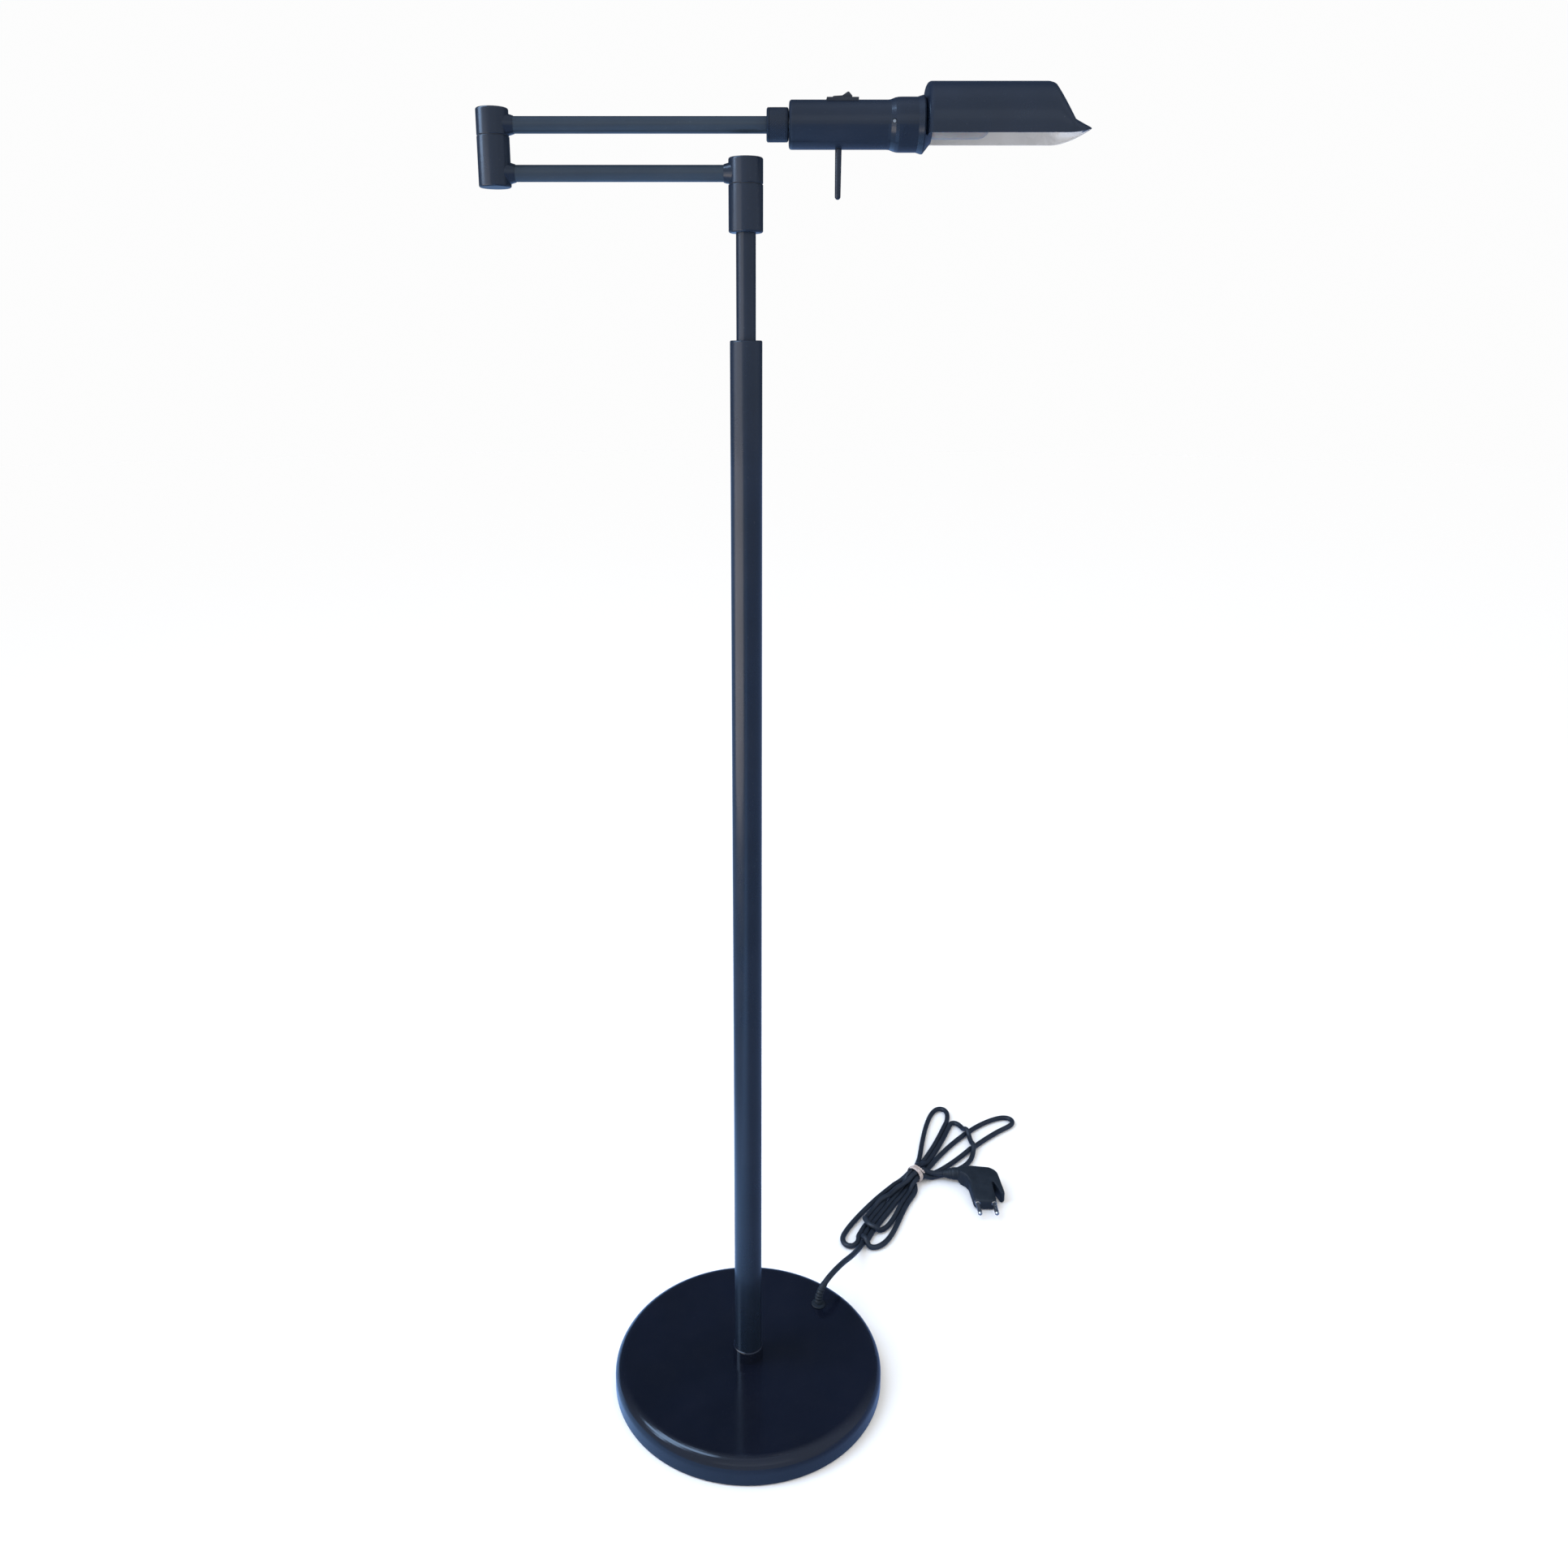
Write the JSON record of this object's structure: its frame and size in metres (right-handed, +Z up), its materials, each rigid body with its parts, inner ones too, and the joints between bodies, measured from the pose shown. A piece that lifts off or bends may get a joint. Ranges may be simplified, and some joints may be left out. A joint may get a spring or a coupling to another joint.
{
  "type": "pharmacy floor lamp",
  "caption": "Floor lamp with a weighted round base, telescopic pole, folding swing arm and a rolling head with a small trough shade; mains cord tied in a hank.",
  "frame": {"origin": "centre of the base's underside, on the floor", "axes": "+Z up along the pole, +X towards the lamp head at rest, +Y away from the viewer"},
  "size_m": [0.536, 0.5724, 1.1409],
  "materials": {
    "black_gloss": "gloss enamel",
    "black_paint": "satin gloss enamel",
    "cast_iron": "raw casting",
    "felt": "pressed felt",
    "zinc_steel": "zinc plated",
    "nylon": "moulded",
    "black_nylon": "moulded",
    "porcelain": "glazed",
    "brass": "bright",
    "bulb_cap_metal": "bright",
    "bulb_opal": "opal",
    "switch_plastic": "moulded",
    "flex_black": "PVC sheath",
    "wire_insulation": "PVC",
    "cord_rubber": "moulded PVC",
    "nickel": "nickel plated",
    "tie_plastic": "paper-covered wire"
  },
  "bodies": {
    "stand": {"base_cover": "black_gloss", "base_weight": "cast_iron", "base_felt": "felt", "pole_nipple": "zinc_steel", "base_washer": "zinc_steel", "base_nut": "zinc_steel", "foot_collar": "black_gloss", "outer_pole": "black_paint", "pole_foot_insert": "zinc_steel", "pole_top_cap": "black_paint", "guide_sleeve": "nylon", "base_flex": "flex_black", "pole_flex": "flex_black", "cord_strain_relief": "cord_rubber", "cord_lead": "flex_black", "cord_hank": "flex_black", "cord_tie": "tie_plastic", "plug_body": "cord_rubber", "plug_pins": "nickel"},
    "mast": {"mast_tube": "black_paint", "mast_foot_bush": "nylon", "hub_barrel": "black_paint", "hub_pivot": "zinc_steel", "hub_washer": "black_nylon", "hub_nut": "zinc_steel", "mast_flex": "flex_black"},
    "lower_arm": {"hub_head": "black_paint", "hub_cap": "black_paint", "lower_arm_tube": "black_paint", "elbow_barrel": "black_paint", "elbow_bottom_cap": "black_paint", "elbow_pivot": "zinc_steel", "elbow_lock_nut": "zinc_steel", "elbow_washer": "black_nylon", "elbow_nut": "zinc_steel", "lower_arm_flex": "flex_black"},
    "upper_arm": {"elbow_head": "black_paint", "elbow_cap": "black_paint", "upper_arm_tube": "black_paint", "swivel_stub": "zinc_steel", "stub_nut": "zinc_steel", "upper_arm_flex": "flex_black"},
    "knurled_ring": {"lock_ring": "black_paint"},
    "head": {"head_housing": "black_paint", "bell_collar": "black_paint", "collar_screws": "zinc_steel", "lampholder": "porcelain", "lampholder_contact": "brass", "bulb_cap": "bulb_cap_metal", "bulb_glass": "bulb_opal", "shade": "black_paint", "shade_rear_wall": "black_paint", "handle_rod": "black_paint", "handle_nut": "zinc_steel", "switch_case": "switch_plastic", "switch_terminals": "brass", "head_wires": "wire_insulation"},
    "rocker": {"switch_rocker": "switch_plastic"}
  },
  "joints": [
    {"name": "height_slide", "type": "slide", "parent": "stand", "child": "mast", "axis": [0, 0, 1], "range_m": [-0.074, 0.25]},
    {"name": "lower_arm_swivel", "type": "hinge", "parent": "mast", "child": "lower_arm", "pos_m": [0, 0, 1.07], "axis": [0, 0, 1], "range_deg": [-165, 165]},
    {"name": "upper_arm_swivel", "type": "hinge", "parent": "lower_arm", "child": "upper_arm", "pos_m": [-0.187, 0, 1.1035], "axis": [0, 0, 1], "range_deg": [-175, 175]},
    {"name": "head_roll", "type": "hinge", "parent": "upper_arm", "child": "head", "pos_m": [0.034, 0, 1.1115], "axis": [1, 0, 0], "range_deg": [-150, 150]},
    {"name": "lock_ring_turn", "type": "hinge", "parent": "upper_arm", "child": "knurled_ring", "pos_m": [0.024, 0, 1.1115], "axis": [1, 0, 0], "range_deg": [0, 180]},
    {"name": "switch_tip", "type": "hinge", "parent": "head", "child": "rocker", "pos_m": [0.0711, 0, 1.1279], "axis": [0, 1, 0], "range_deg": [0, 24]}
  ]
}
